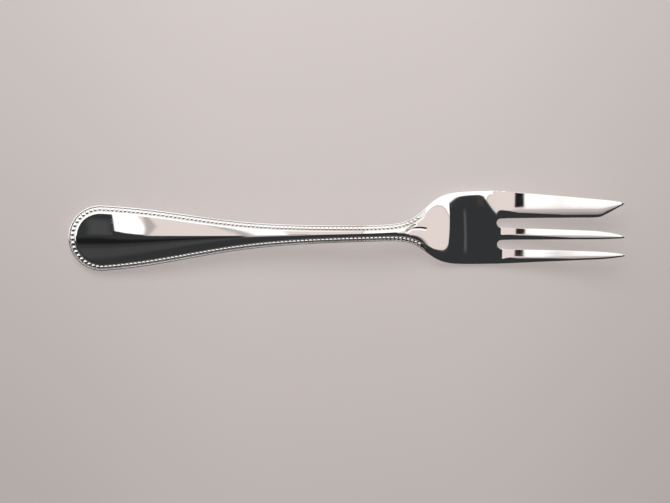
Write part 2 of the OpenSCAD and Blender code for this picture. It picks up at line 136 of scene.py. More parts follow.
# Each soft bend's place along the fork and its softness, and the slopes of the straight runs between them
bends_x = np.array([x_end + 9, x_neck + 7, x_head + 4, x_slots - 3.2, x_slots + 6.3, x_tip - 9])
bends_run = np.array([3.5, 2.6, 2.0, 2.4, 5.0, 2.0])
end_slope, handle_slope, belly_slope = 0.23, 0.095, -0.02
tine_slope, point_slope, tip_slope = 0.155, 0.238, 0.246
end_height = end_thickness - end_rest_share * under_round_depth


def bent(x):
    """How far each soft bend has opened since the handle's end, one column for each bend."""
    x = np.asarray(x, float)[..., None]
    return bend(x - bends_x, bends_run) - bend(x_end - bends_x, bends_run)


# The neck's fall is what brings the belly down to the table
flat_run = np.array([handle_slope - end_slope, -handle_slope, belly_slope,
                     tine_slope - belly_slope, point_slope - tine_slope, tip_slope - point_slope])
opened_at_belly = bent(x_belly)
height_without_fall = end_height + end_slope * (x_belly - x_end) + opened_at_belly @ flat_run
fall_needed = head_thickness - rest_depth - height_without_fall
fall_slope = fall_needed / (opened_at_belly[1] - opened_at_belly[2])
slope_changes = flat_run + fall_slope * np.array([0, 1, -1, 0, 0, 0])


def middle_height(x):
    """Height of the top over the middle line: straight runs joined by soft bends."""
    return end_height + end_slope * (x - x_end) + bent(x) @ slope_changes


crown_end, crown_neck, crown_head = 0.45, 0.9, 0.12
crown_change_at, crown_change_run, crown_fade_run = 26, 12, 2.5


def crown(x):
    """Fall of the top from the middle line to the edge, which softly fades to the head's past the neck."""
    before_head = mix(crown_end, crown_neck, ease(x - x_neck + crown_change_at, crown_change_run))
    return crown_head + before_head * ease(x_head - x, crown_fade_run)


def crowned(x, y):
    """Height of the top before any relief: the middle line's less the crown times the square of the share
    of the way out to the edge."""
    return middle_height(x) - crown(x) * (y / half_width(x)) ** 2


rim_end, rim_stem, rim_round, rim_round_depth = 0.3, 0.23, 0.2, 0.08
channel_depth, channel_wall, panel_rise, border_slope = 0.16, 0.05, 0.15, 0.3
bead_end, bead_stem, bead_side_gap = 1.24, 1.0, 0.04
margin_end, margin_stem, margin_share = 0.7, 0.45, 0.6
stem_growth, border_fade = 0.35, 1.6
head_round, head_round_depth = 1.0, 0.32


def toward_end(x):
    """Share of the handle's widening that is reached: 0 at the neck, 1 where the end begins to round."""
    return np.clip((taper(x) - taper(x_neck)) / (taper(x_round) - taper(x_neck)), 0, 1)


def bead_growth(x):
    """Share of the beads' growth that is reached: part of it along the handle, the rest round its end."""
    return mix(stem_growth * toward_end(x), 1, ramp(x_round - x, 0, end_reach))


def bead_size(x):
    """Width of a bead, which grows from the neck to the handle's end."""
    return mix(bead_stem, bead_end, bead_growth(x))


def in_border(x):
    """1 along the border, falling to 0 just past its last bead."""
    return 1 - ramp(x, x_border_end + bead_stem / 2, x_border_end + border_fade)


def border_marks(x):
    """Distances in from the edge where the channel's outer wall, its floor, its inner wall, the panel's
    margin and the panel itself start."""
    start = mix(rim_stem, rim_end, toward_end(x)) + channel_wall
    stop = start + 2 * bead_side_gap + bead_size(x)
    panel = stop + mix(margin_stem, margin_end, toward_end(x))
    return start - channel_wall, start, stop, stop + channel_wall, panel


def border_lean(x):
    """What the border slopes out by more than the crown does there: it has the same slope all along."""
    start, stop = border_marks(x)[1:3]
    return border_slope - 2 * crown(x) * (1 - (start + stop) / 2 / half_width(x)) / half_width(x)


def border_relief(x, d):
    """Height of the struck border against the crown: rim, channel and the panel's rounded margin."""
    rim, start, stop, wall_top, panel = border_marks(x)
    floor = panel_rise + channel_depth
    outer = panel_rise + channel_depth * ramp(d, rim, start)
    inner = np.where(d < wall_top, mix(floor, margin_share * floor, ramp(d, stop, wall_top)),
                     quarter(d - wall_top, panel - wall_top, margin_share * floor))
    return -np.where(d < (start + stop) / 2, outer, inner)


def arc(count):
    """Shares from 0 to 1 that crowd towards 0 as points of a quarter circle do."""
    return 1 - np.cos(np.linspace(0, np.pi / 2, count + 1))


def even(count):
    """Shares from 0 to 1 in even steps."""
    return np.linspace(0, 1, count + 1)


round_steps, rim_steps, wall_steps, floor_steps, margin_steps = 6, 2, 4, 8, 10


def top_marks(x):
    """Distances in from the edge of a section's points on top, their heights against the crown, and how deep
    each lies in the bead channel, from 0 to 1, which is how much painted shade its metal takes."""
    zero = np.zeros_like(x)
    rim, start, stop, wall_top, panel = border_marks(x)
    spans = [(zero, zero + rim_round, arc(round_steps)), (zero + rim_round, rim, even(rim_steps)),
             (rim, start, even(wall_steps)), (start, stop, even(floor_steps)),
             (stop, wall_top, even(wall_steps)), (wall_top, panel, arc(margin_steps))]
    bordered = np.concatenate([mix(a[:, None], b[:, None], share[None, :-1]) for a, b, share in spans]
                              + [panel[:, None]], axis=1)
    plain = head_round * arc(bordered.shape[1] - 1)[None, :]
    share = in_border(x)[:, None]
    d = mix(plain, bordered, share)
    relief = border_relief(x[:, None], bordered)
    fall = border_lean(x)[:, None] * np.maximum(0, stop[:, None] - bordered)
    lift = share * (relief - fall) \
        - quarter(d, mix(head_round, rim_round, share), mix(head_round_depth, rim_round_depth, share))
    in_channel = np.clip((-relief - panel_rise) / channel_depth, 0, 1) * (bordered < wall_top[:, None])
    return d, lift, share * in_channel


def under_height(x, y, d):
    """Height of the underside: the middle line's less the thickness, raised to the edges and rounded there,
    and never under the table."""
    return np.maximum(0, middle_height(x) - thickness(x) + under_crown * (y / half_width(x)) ** 2
                      + quarter(d, under_round, under_round_depth))


belly_steps, under_steps, crown_steps = 14, 8, 22


def half_sections(edge, inward, centre, panel_steps=crown_steps):
    """Half sections as rows of points: from the middle underneath, out round the edge and back over the top.

    edge, inward and centre are rows of x and y. A point at a distance d in from the edge lies at
    edge + inward * d, and past the border the rows run straight to the centre. The fourth number of each
    point says how deep it lies in the bead channel, from 0 to 1, and so how much painted shade it takes."""
    x = edge[:, 0]
    d, lift, hollow_shade = top_marks(x)
    under_d = under_round * arc(under_steps)[None, ::-1] * np.ones((len(x), 1))

    def at(distance):
        """Points at a distance in from the edge."""
        return edge[:, None] + inward[:, None] * distance[..., None]

    def run(a, b, steps):
        """Points in even steps from a to b."""
        return mix(a[:, None], b[:, None], even(steps)[None, :, None])

    under_inner = run(centre, at(under_d[:, :1])[:, 0], belly_steps)[:, :-1]
    under_outer = at(under_d)
    top_outer = at(d)
    top_inner = run(top_outer[:, -1], centre, panel_steps)[:, 1:]
    flat = np.concatenate([under_inner, under_outer, top_outer, top_inner], axis=1)
    fx, fy = flat[..., 0], flat[..., 1]
    under_count = belly_steps + under_d.shape[1]
    under_gap = np.concatenate([np.full((len(x), belly_steps), under_round), under_d], axis=1)
    z = crowned(fx, fy)
    z[:, under_count:under_count + d.shape[1]] += lift
    z[:, :under_count] = under_height(fx[:, :under_count], fy[:, :under_count], under_gap)
    shade = np.zeros_like(z)
    shade[:, under_count:under_count + d.shape[1]] = hollow_shade
    return np.concatenate([flat, z[..., None], shade[..., None]], axis=2)


# Half the step that slopes are measured over
probe = 0.05


def straight_rows(x, panel_steps=crown_steps):
    """Half sections of the side towards +Y, each across the fork at one x."""
    slope = (half_width(x + probe) - half_width(x - probe)) / (2 * probe)
    edge = np.stack([x, half_width(x)], axis=1)
    inward = np.stack([0 * x, -np.sqrt(1 + slope ** 2)], axis=1)
    return half_sections(edge, inward, np.stack([x, 0 * x], axis=1), panel_steps)


def round_rows(angle):
    """Half sections that fan out from the middle of the handle's rounded end, angle in radians from +X."""
    x = x_round + end_reach * np.cos(angle)
    edge = np.stack([x, half_width(x) * np.sin(angle)], axis=1)
    out = np.stack([np.cos(angle) / end_reach, 2 * np.sin(angle) / handle_width], axis=1)
    inward = -out / np.linalg.norm(out, axis=1, keepdims=True)
    return half_sections(edge, inward, np.array([[x_round, 0.0]]).repeat(len(x), axis=0))


def mirrored(rows):
    """The same rows on the side towards -Y, in the opposite order, so that their faces still point out."""
    return rows[::-1] * np.array([1, -1, 1, 1])


def unit(v):
    """The vector made one long."""
    return v / np.maximum(np.linalg.norm(v, axis=-1, keepdims=True), 1e-9)


def grid_normals(rows):
    """Normal at each point of a grid: the step along crossed with the mean of the two unit steps around.

    The first and last rows only serve the steps along, and are left out of the result."""
    p = rows[..., :3]
    along = p[2:] - p[:-2]
    step = unit(np.diff(p[1:-1], axis=1))
    around = np.concatenate([step[:, :1], step[:, :-1] + step[:, 1:], step[:, -1:]], axis=1)
    return unit(np.cross(along, around))


# Decimals of a millimetre to which points that coincide agree
merge_digits = 5


def solid_piece(name, grids, caps, material):
    """One closed mesh from grids of points in millimetres, each with a spare row at both ends.

    Points that coincide are merged and share the mean of their normals, and a cap is a flat face round a
    loop of points, against the clock as seen from outside. The points' fourth number, how much painted
    shade each takes, is kept as a point attribute of the mesh."""
    points = np.concatenate([g[1:-1].reshape(-1, 4) for g in grids])
    normals = np.concatenate([grid_normals(g).reshape(-1, 3) for g in grids])
    rounded = np.round(points[:, :3], merge_digits)
    _, first, index = np.unique(rounded, axis=0, return_index=True, return_inverse=True)
    index = index.reshape(-1)
    summed = np.zeros((len(first), 3))
    np.add.at(summed, index, normals)
    quads, start = [], 0
    for g in grids:
        count = (g.shape[0] - 2, g.shape[1])
        i = start + np.arange(count[0] * count[1]).reshape(count)
        quads.append(np.stack([i[:-1, :-1], i[1:, :-1], i[1:, 1:], i[:-1, 1:]], axis=-1).reshape(-1, 4))
        start += count[0] * count[1]
    q = index[np.concatenate(quads)]
    triangles = np.concatenate([q[:, [0, 1, 2]], q[:, [0, 2, 3]]])
    whole = (triangles[:, 0] != triangles[:, 1]) & (triangles[:, 1] != triangles[:, 2]) \
        & (triangles[:, 2] != triangles[:, 0])
    finder = {tuple(p): k for k, p in enumerate(rounded[first].tolist())}
    loops = []
    for cap in caps:
        corners = np.round(cap[:, :3], merge_digits).tolist()
        loops.append(list(dict.fromkeys(finder[tuple(p)] for p in corners)))
    return mesh_piece(name, points[first][:, :3], triangles[whole].tolist() + loops, unit(summed), material,
                      hollow_shade=points[first][:, 3])


def mesh_piece(name, points, faces, normals, material, hollow_shade):
    """A mesh object at the origin from points in millimetres, smooth, with its own normal at each vertex."""
    mesh = bpy.data.meshes.new(name)
    mesh.from_pydata((points * MM).tolist(), [], faces)
    mesh.polygons.foreach_set("use_smooth", np.ones(len(mesh.polygons), bool))
    mesh.attributes.new("hollow_shade", "FLOAT", "POINT").data.foreach_set("value", hollow_shade.astype(np.float32))
    mesh.normals_split_custom_set_from_vertices(normals.tolist())
    mesh.materials.append(material)
    piece = bpy.data.objects.new(name, mesh)
    bpy.context.scene.collection.objects.link(piece)
    return piece


def struck_part(piece, node):
    """The piece goes with the fork, and its CAD node is hidden."""
    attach(piece, "root")
    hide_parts(node)


def maths(tree, operation, a, b=None):
    """A Math node on two sockets or numbers; gives back its result."""
    node = tree.nodes.new("ShaderNodeMath")
    node.operation = operation
    for place, value in ((0, a), (1, b)):
        if isinstance(value, (int, float)):
            node.inputs[place].default_value = value
        elif value is not None:
            tree.links.new(value, node.inputs[place])
    return node.outputs[0]


def noise(tree, coordinates, scale, detail, stretch=(1, 1, 1), turn=0.0):
    """Noise over object coordinates in metres, stretched and turned about Z first."""
    mapping = tree.nodes.new("ShaderNodeMapping")
    mapping.inputs["Scale"].default_value = stretch
    mapping.inputs["Rotation"].default_value = (0, 0, turn)
    tree.links.new(coordinates, mapping.inputs["Vector"])
    texture = tree.nodes.new("ShaderNodeTexNoise")
    texture.inputs["Scale"].default_value = scale
    texture.inputs["Detail"].default_value = detail
    tree.links.new(mapping.outputs["Vector"], texture.inputs["Vector"])
    return texture.outputs["Fac"]


def between(tree, value, low, high, to_low=0.0, to_high=1.0):
    """Smooth step of a value from low to high, put out from to_low to to_high."""
    node = tree.nodes.new("ShaderNodeMapRange")
    node.interpolation_type = "SMOOTHSTEP"
    tree.links.new(value, node.inputs["Value"])
    for name, number in (("From Min", low), ("From Max", high), ("To Min", to_low), ("To Max", to_high)):
        node.inputs[name].default_value = number
    return node.outputs["Result"]


# Polishing leaves a clear mirror with fine hairlines in every direction, and use adds faint smudges. Each
# set of hairlines has its turn in radians, and its scale along and across the lines.
polish = bpy.data.node_groups.new("polish_marks", "ShaderNodeTree")
polish.interface.new_socket("Hairlines", in_out="OUTPUT", socket_type="NodeSocketFloat")
polish.interface.new_socket("Smudges", in_out="OUTPUT", socket_type="NodeSocketFloat")
polish_out = polish.nodes.new("NodeGroupOutput")
polish_place = polish.nodes.new("ShaderNodeTexCoord").outputs["Object"]
hairlines = None
for turn, along, across in ((0.1, 90, 5200), (0.9, 160, 7000), (-0.7, 210, 6400), (1.6, 130, 8000)):
    lines = between(polish, noise(polish, polish_place, 1.0, 2.0, (along, across, along), turn), 0.66, 0.74)
    hairlines = lines if hairlines is None else maths(polish, "MAXIMUM", hairlines, lines)
patches = between(polish, noise(polish, polish_place, 120.0, 3.0), 0.42, 0.62)
polish.links.new(maths(polish, "MULTIPLY", hairlines, patches), polish_out.inputs["Hairlines"])
smudges = between(polish, noise(polish, polish_place, 55.0, 4.0), 0.35, 0.7)
polish.links.new(smudges, polish_out.inputs["Smudges"])
smudge_dulling, smudge_roughness, hairline_roughness = 0.05, 0.012, 0.03
hairline_bump, hairline_depth = 0.015, 0.00002


def polished_material(name, clean, smudged_and_shaded, roughness, dark_roughness):
    """Mirror metal whose colour is darkened by painted shade and whose gloss fades in the hollows, with
    hairlines and smudges.
    """
    material = bpy.data.materials.new(name)
    material.use_nodes = True
    tree = material.node_tree
    shader = tree.nodes["Principled BSDF"]
    shader.inputs["Metallic"].default_value = 1.0
    marks = tree.nodes.new("ShaderNodeGroup")
    marks.node_tree = polish
    hollow_shade = tree.nodes.new("ShaderNodeAttribute")
    hollow_shade.attribute_name = "hollow_shade"
    tint = tree.nodes.new("ShaderNodeMix")
    tint.data_type = "RGBA"
    tint.inputs["A"].default_value = clean + (1,)
    tint.inputs["B"].default_value = smudged_and_shaded + (1,)
    soiled = maths(tree, "MULTIPLY", marks.outputs["Smudges"], smudge_dulling)
    tree.links.new(maths(tree, "MAXIMUM", hollow_shade.outputs["Fac"], soiled), tint.inputs["Factor"])
    tree.links.new(tint.outputs["Result"], shader.inputs["Base Color"])
    gloss = maths(tree, "MULTIPLY", hollow_shade.outputs["Fac"], dark_roughness - roughness)
    gloss = maths(tree, "ADD", gloss, roughness)
    for mark, share in (("Smudges", smudge_roughness), ("Hairlines", hairline_roughness)):
        gloss = maths(tree, "ADD", gloss, maths(tree, "MULTIPLY", marks.outputs[mark], share))
    tree.links.new(gloss, shader.inputs["Roughness"])
    bump = tree.nodes.new("ShaderNodeBump")
    bump.inputs["Strength"].default_value = hairline_bump
    bump.inputs["Distance"].default_value = hairline_depth
    tree.links.new(marks.outputs["Hairlines"], bump.inputs["Height"])
    tree.links.new(bump.outputs["Normal"], shader.inputs["Normal"])
    return material


# Its second colour is the painted shade in the bead channel and the struck lines, which the smudges also draw
# on a little.
polished_metal = polished_material("polished_metal", (0.86, 0.845, 0.835), (0.7, 0.68, 0.67), 0.02, 0.06)


def cap_loop(rows_plus):
    """Outline of the flat end of a straight run: one side's half section and the other's, as one loop."""
    return np.concatenate([rows_plus, mirrored(rows_plus[None])[0][::-1]])


side_stations, end_stations = 131, 97
side_x = np.linspace(x_neck, x_round, side_stations)
spare_x = x_neck + (side_x[0] - side_x[1])
end_angles = np.radians(np.linspace(90, 270, end_stations)[1:-1])
handle_side = straight_rows(np.concatenate([[spare_x], side_x]))
handle_grid = np.concatenate([handle_side, round_rows(end_angles), mirrored(handle_side)])
handle = solid_piece("handle_polished", [handle_grid], [cap_loop(handle_side[1])], polished_metal)
struck_part(handle, "handle")


# ==== Neck ====
# The arched, narrow part where fork and handle meet: drawn down in width and left thickest, because it
# carries the bending. The border runs out on it, with two short struck lines where the panel ends.
def straight_part(name, stations, material, panel_steps=crown_steps, shape=None):
    """A part that runs over whole sections from the first station to the last, closed at both ends. The
    function shape may press something into its rows of points first."""
    spare = stations[0] + (stations[0] - stations[1]), stations[-1] + (stations[-1] - stations[-2])
    rows = straight_rows(np.concatenate([[spare[0]], stations, [spare[1]]]), panel_steps)
    side = [rows, mirrored(rows)]
    if shape:
        side = [shape(rows) for rows in side]
    return solid_piece(name, side, [cap_loop(rows[1]), cap_loop(rows[-2])[::-1]], material)


# Points of the two struck lines, in millimetres past the narrowest part of the neck and off the middle
neck_lines = [[(15.28, 0.4), (13.93, 0.7), (12.8, 0.76), (11.73, 0.82), (11.07, 0.64), (10.59, 0.34),
               (10.29, 0.13)], [(11.08, 0.95), (11.69, 1.33), (12.36, 1.65)]]
line_depth, line_width = 0.25, 0.45


def struck_lines(rows):
    """Presses the lines into the top: line_depth times e to the minus twice the square of the distance to
    the nearest line over line_width. Their metal takes the same painted shade as the channel's."""
    x, y = rows[..., 0] - x_neck, rows[..., 1]
    nearest = np.full(x.shape, np.inf)
    for line in neck_lines:
        for (ax, ay), (bx, by) in zip(line, line[1:]):
            dx, dy = bx - ax, by - ay
            t = np.clip(((x - ax) * dx + (y - ay) * dy) / (dx * dx + dy * dy), 0, 1)
            nearest = np.minimum(nearest, np.hypot(x - ax - t * dx, y - ay - t * dy))
    on_top = rows[..., 2] > middle_height(rows[..., 0]) - thickness(rows[..., 0]) / 2
    bell = np.exp(-2 * (nearest / line_width) ** 2) * on_top
    rows = rows.copy()
    rows[..., 2] -= line_depth * bell
    rows[..., 3] = np.maximum(rows[..., 3], bell)
    return rows


neck_stations, neck_panel_steps = 221, 76
neck = straight_part("neck_polished", np.linspace(x_head, x_neck, neck_stations), polished_metal,
                     neck_panel_steps, struck_lines)
struck_part(neck, "neck")


# ==== Head ====
# The broad part behind the tines, of the same steel and flatter than the handle, with softly rounded
# edges. It is bent to a shallow belly, which is what the fork lies on.
head_stations = 61
head = straight_part("head_polished", np.linspace(x_slots, x_head, head_stations), polished_metal)
struck_part(head, "head")


# ==== Tines ====
# Three tines cut from the blank with two round-bottomed slots: a wide one with a slanted end for cutting
# cake, and two slim ones. All are bent up a little towards their points and polished over.
slot_width, side_line_run = 2.35, 1.0
slot_radius = slot_width / 2
cutting_slot_y, outer_slot_y = 1.2, -4.65
cutting_taper, outer_taper, outer_inner_taper, middle_taper = 0.1, 0.042, 0.034, 0.044
cutting_slant_length, cutting_slant, cutting_slant_run = 6.4, 0.57, 0.5
cutting_point, cutting_power, point_power = 4.0, 1.7, 0.8
middle_point, middle_skew, outer_point, outer_skew = 9.0, 0.8, 7.5, 0.5
root_round, root_round_depth, slim_round, slim_round_depth = 2.2, 0.36, 0.5, 0.22
high_round, high_round_depth, slimming_run = 0.12, 0.06, 20
middle_lean, outer_lean = 0.035, 0.055
lean_growth, edge_growth = 1.6, 4.0
cutting_fall_width, slim_fall_width, side_slope = 2.6, 1.4, 0.075
point_round, point_width, blunt_share = 0.6, 0.45, 0.97
turn_stations, shank_stations, point_stations, across_stations = 13, 41, 31, 33


def opened(x):
    """Half the slot's width, which opens as a half circle."""
    d = np.clip(x - x_slots, 0, slot_radius)
    return np.sqrt(d * (2 * slot_radius - d))


def side_line(x, fall):
    """Outer edge of the fork past the slots' bottoms, which draws in softly and then straight."""
    return half_width(x) - fall * (bend(x - x_slots, side_line_run) - bend(0.0, side_line_run))


def pointed(x, length):
    """Share of its width that a point keeps: one less the share of the way squared, to point_power."""
    t = np.clip(1 - (x_tip - x) / length, 0, 1)
    return (1 - t * t) ** point_power


def cutting_edges(x):
    """Inner and outer edge of the cutting tine: the inner one turns out on a slant near the end."""
    def inner(at):
        """The edge along the slot, which goes on along the slant."""
        past_slant = at - x_tip + cutting_slant_length
        return cutting_slot_y + opened(at) + cutting_slant * bend(past_slant, cutting_slant_run)

    t = np.clip(1 - (x_tip - x) / cutting_point, 0, 1)
    point = inner(np.array(x_tip)) + point_width
    return inner(x), mix(side_line(x, cutting_taper), point, t ** cutting_power)


def narrowed(low, high, keep, skew):
    """Two edges drawn together to a point, which loses the share skew of its width from the +Y side."""
    lost = (high - low - point_width) * (1 - keep)
    return low + lost * (1 - skew), high - lost * skew


def middle_edges(x):
    """Edges of the middle tine, from one slot to the other."""
    high = cutting_slot_y - opened(x) - middle_taper * (x - x_slots)
    return narrowed(outer_slot_y + opened(x), high, pointed(x, middle_point), middle_skew)


def outer_edges(x):
    """Edges of the outer tine, from the fork's side to the slot."""
    high = outer_slot_y - opened(x) - outer_inner_taper * (x - x_slots)
    return narrowed(-side_line(x, outer_taper), high, pointed(x, outer_point), outer_skew)


def leaning(x):
    """Share of a tine's lean and fall that is reached: none at the slots' bottoms, all a little way on."""
    return ramp(x - x_slots, 0, lean_growth)


def grown(x):
    """Share of a tine's roundings that is reached: none at the slots' bottoms, all further on."""
    return ramp(x - x_slots, 0, edge_growth)


def slimmed(x):
    """Width and depth of the rounding on a tine's cutting side, from the slots' bottoms out to the points."""
    share = np.clip((x - x_slots) / slimming_run, 0, 1)
    return mix(root_round, slim_round, share), mix(root_round_depth, slim_round_depth, share)


def slot_low(x):
    """Rounding along a slot on a tine's -Y side: its width, its depth on top and its depth underneath."""
    width, depth = slimmed(x)
    return width, depth * grown(x), under_round_depth * grown(x)


def outer_low(x):
    """Rounding along the fork's outer edge on a tine's -Y side, which goes on from the head's."""
    (width, depth), share = slimmed(x), grown(x)
    return mix(head_round, width, share), mix(head_round_depth, depth, share), under_round_depth


def slot_high(x):
    """Rounding along a slot on a tine's +Y side."""
    return high_round, high_round_depth * grown(x), under_round_depth * grown(x)


def outer_high(x):
    """Rounding along the fork's outer edge on a tine's +Y side, which goes on from the head's."""
    share = grown(x)
    width, depth = mix(head_round, high_round, share), mix(head_round_depth, high_round_depth, share)
    return width, depth, under_round_depth


def tine(name, edges, low_side, high_side, lean, fall_width):
    """A tine from its point back to the slots: rings across it, blunted by an ellipse at the very point.

    Its top rises to -Y by the slope lean, about a line a quarter of the way from its -Y edge. Over
    fall_width, or half the tine where that is less, its -Y side falls off as the share of the way squared,
    up to the slope side_slope."""
    quarter_turn = np.linspace(0, np.pi / 2, turn_stations)
    x = np.concatenate([x_slots + slot_radius * (1 - np.cos(quarter_turn)),
                        np.linspace(x_slots + slot_radius, x_tip - middle_point, shank_stations)[1:],
                        np.linspace(x_tip - middle_point, x_tip - point_round, point_stations)[1:],
                        x_tip - point_round * (1 - np.sin(quarter_turn[1:]))])[::-1, None]
    low, high = edges(x)
    middle, half = (low + high) / 2, (high - low) / 2
    t = half * np.cos(np.linspace(0, np.pi, across_stations))[None, :]
    (low_w, low_top, low_under), (high_w, high_top, high_under) = low_side(x), high_side(x)
    under_w = np.minimum(half, under_round)
    base = middle_height(x) - thickness(x)
    # Underneath, the points run the other way across
    under_rise = quarter(half - t, under_w, low_under) + quarter(half + t, under_w, high_under)
    under = np.maximum(0, base + under_rise)
    top = crowned(x, middle + t) - quarter(half + t, np.minimum(half, low_w), low_top) \
        - quarter(half - t, np.minimum(half, high_w), high_top)
    fall_run = np.minimum(half, fall_width)
    fall = side_slope * fall_run / 2 * np.clip(1 - (half + t) / fall_run, 0, 1) ** 2
    top = top - leaning(x) * (lean * (t + half / 2) + fall)
    blunt = np.clip(1 - (x_tip - x) / point_round, 0, 1) * blunt_share
    keep = np.sqrt(1 - blunt ** 2)
    z_middle = middle_height(x) - thickness(x) / 2
    y = np.concatenate([middle - t * keep, middle + t * keep], axis=1)
    z = z_middle + (np.concatenate([under, top], axis=1) - z_middle) * keep
    rings = np.stack([x + 0 * y, y, z, 0 * y], axis=-1)
    rings = np.concatenate([rings, rings[:, :1]], axis=1)
    rows = np.concatenate([2 * rings[:1] - rings[1:2], rings, 2 * rings[-1:] - rings[-2:-1]])
    return solid_piece(name, [rows], [rings[0], rings[-1, ::-1]], polished_metal)


cutting_tine = tine("cutting_tine_polished", cutting_edges, slot_low, outer_high, 0, cutting_fall_width)
struck_part(cutting_tine, "cutting_tine")
middle_tine = tine("middle_tine_polished", middle_edges, slot_low, slot_high, middle_lean, slim_fall_width)
struck_part(middle_tine, "middle_tine")
outer_tine = tine("outer_tine_polished", outer_edges, outer_low, slot_high, outer_lean, slim_fall_width)
struck_part(outer_tine, "outer_tine")


# ==== Bead border ====
# A row of small domes struck in the channel, down both sides and round the handle's end. They are part of
# the metal, whose gloss fades round their feet, where the polishing wheel doesn't reach, and which is
# darkened there with painted shade.
bead_gap_end, bead_gap_stem, bead_seat_gap = 0.04, 0.09, 0.02
bead_angle = math.radians(44)


def outline(u):
    """The fork's edge on the +Y side: at a length u from where the end's rounding starts towards the neck,
    or round the end where u is negative."""
    angle = -u / end_reach
    x = x_round + np.where(u > 0, u, -end_reach * np.sin(angle))
    return np.stack([x, half_width(x) * np.where(u > 0, 1, np.cos(angle))], axis=-1)


def bead_inward(u):
    """Direction at right angles to the edge, into the fork."""
    along = unit(outline(u + probe) - outline(u - probe))
    return np.stack([along[..., 1], -along[..., 0]], axis=-1)


def bead_place(u):
    """Middle of a bead: in from the edge by the rim, the channel's wall and half a bead."""
    p = outline(u)
    x = p[..., 0]
    inset = mix(rim_stem, rim_end, toward_end(x)) + channel_wall + bead_side_gap + bead_size(x) / 2
    return p + bead_inward(u) * inset[..., None]


def bead_step(u):
    """Step of u from one bead to the next: a bead and its gap over the speed of the beads' path."""
    x = outline(u)[..., 0]
    speed = np.linalg.norm(bead_place(u + probe) - bead_place(u - probe), axis=-1) / (2 * probe)
    return (bead_size(x) + mix(bead_gap_stem, bead_gap_end, bead_growth(x))) / speed


end_middle = np.array(-end_reach * np.pi / 2)
bead_marks = [end_middle + bead_step(end_middle)]
while bead_place(bead_marks[-1])[0] < x_border_end:
    bead_marks.append(bead_marks[-1] + bead_step(bead_marks[-1]))
bead_marks = np.array(bead_marks[:-1])
# How high over its sphere's middle each ring of a dome lies, and the places round a ring
dome_rise = math.pi / 2 - bead_angle * np.array([1, 0.75, 0.5, 0.25])
dome_turn = np.radians(np.arange(0, 360, 30))


def bead_domes():
    """Caps of spheres on the channel's floor, tilted with the border: rings at four heights, and the top.

    Gives each dome's points and normals, how low each point lies from 0 to 1, and whether it is mirrored
    to the -Y side."""
    u = np.concatenate([[end_middle], bead_marks, bead_marks])
    mirror = np.arange(len(u)) > len(bead_marks)
    place = bead_place(u)
    at = outline(u)[:, 0]
    half, inward, lean = bead_size(at) / 2, bead_inward(u), border_lean(at)
    x, y = place[:, 0], place[:, 1]
    slope_x = (crowned(x + probe, y) - crowned(x - probe, y)) / (2 * probe) + lean * inward[:, 0]
    slope_y = (crowned(x, y + probe) - crowned(x, y - probe)) / (2 * probe) + lean * inward[:, 1]
    up = unit(np.stack([-slope_x, -slope_y, np.ones_like(x)], axis=1))
    forward = unit(np.array([1.0, 0, 0]) - up * up[:, :1])
    left = np.cross(up, forward)
    level, rise = np.cos(dome_rise)[:, None], np.sin(dome_rise)[:, None]
    rings = np.stack([level * np.cos(dome_turn), level * np.sin(dome_turn), rise * np.ones_like(dome_turn)],
                     axis=-1).reshape(-1, 3)
    shape = np.concatenate([rings, [[0, 0, 1.0]]])
    normals = (shape[None, :, :1] * forward[:, None] + shape[None, :, 1:2] * left[:, None]
               + shape[None, :, 2:] * up[:, None])
    seat = crowned(x, y) - panel_rise - channel_depth - lean * (half + bead_side_gap) + bead_seat_gap
    radius = half / math.sin(bead_angle)
    centre = np.stack([x, y, seat], axis=1) - up * (radius * math.cos(bead_angle))[:, None]
    points = centre[:, None] + normals * radius[:, None, None]
    points[mirror] *= np.array([1, -1, 1])
    normals[mirror] *= np.array([1, -1, 1])
    low = (1 - shape[:, 2]) / (1 - math.cos(bead_angle))
    return points, normals, np.broadcast_to(low, points.shape[:2]), mirror


def dome_faces():
    """Faces of one dome: bands between its rings, a fan to the top and the flat underneath."""
    n, rings = len(dome_turn), len(dome_rise)
    faces = [[r * n + k, r * n + (k + 1) % n, (r + 1) * n + (k + 1) % n, (r + 1) * n + k]
             for r in range(rings - 1) for k in range(n)]
    faces += [[(rings - 1) * n + k, (rings - 1) * n + (k + 1) % n, rings * n] for k in range(n)]
    return faces + [list(range(n))[::-1]]


points, normals, low, mirror = bead_domes()
faces = [[i * points.shape[1] + k for k in (face[::-1] if mirror[i] else face)]
         for i in range(len(points)) for face in dome_faces()]
# The beads' second colour is painted shade, laid on by the square of how low each point lies on its dome.
bead_metal = polished_material("bead_metal", (0.9, 0.89, 0.88), (0.85, 0.83, 0.82), 0.02, 0.04)
beads = mesh_piece("bead_border_polished", points.reshape(-1, 3), faces, normals.reshape(-1, 3), bead_metal,
                   hollow_shade=np.clip(low.reshape(-1), 0, 1) ** 2)
struck_part(beads, "bead_border")


# ==== Table ====
# The pale table top that the fork lies on: a board with a matt paint of a warm light grey, with painted
# shade that darkens it a little on the near side and further out to the left and right, where the light falls
# off.
table_paint = bpy.data.materials.new("table_paint")
table_paint.use_nodes = True
tree = table_paint.node_tree
shader = tree.nodes["Principled BSDF"]
place = tree.nodes.new("ShaderNodeTexCoord").outputs["Object"]
split = tree.nodes.new("ShaderNodeSeparateXYZ")
tree.links.new(place, split.inputs["Vector"])
table_near_shade = tree.nodes.new("ShaderNodeMix")
table_near_shade.data_type = "RGBA"
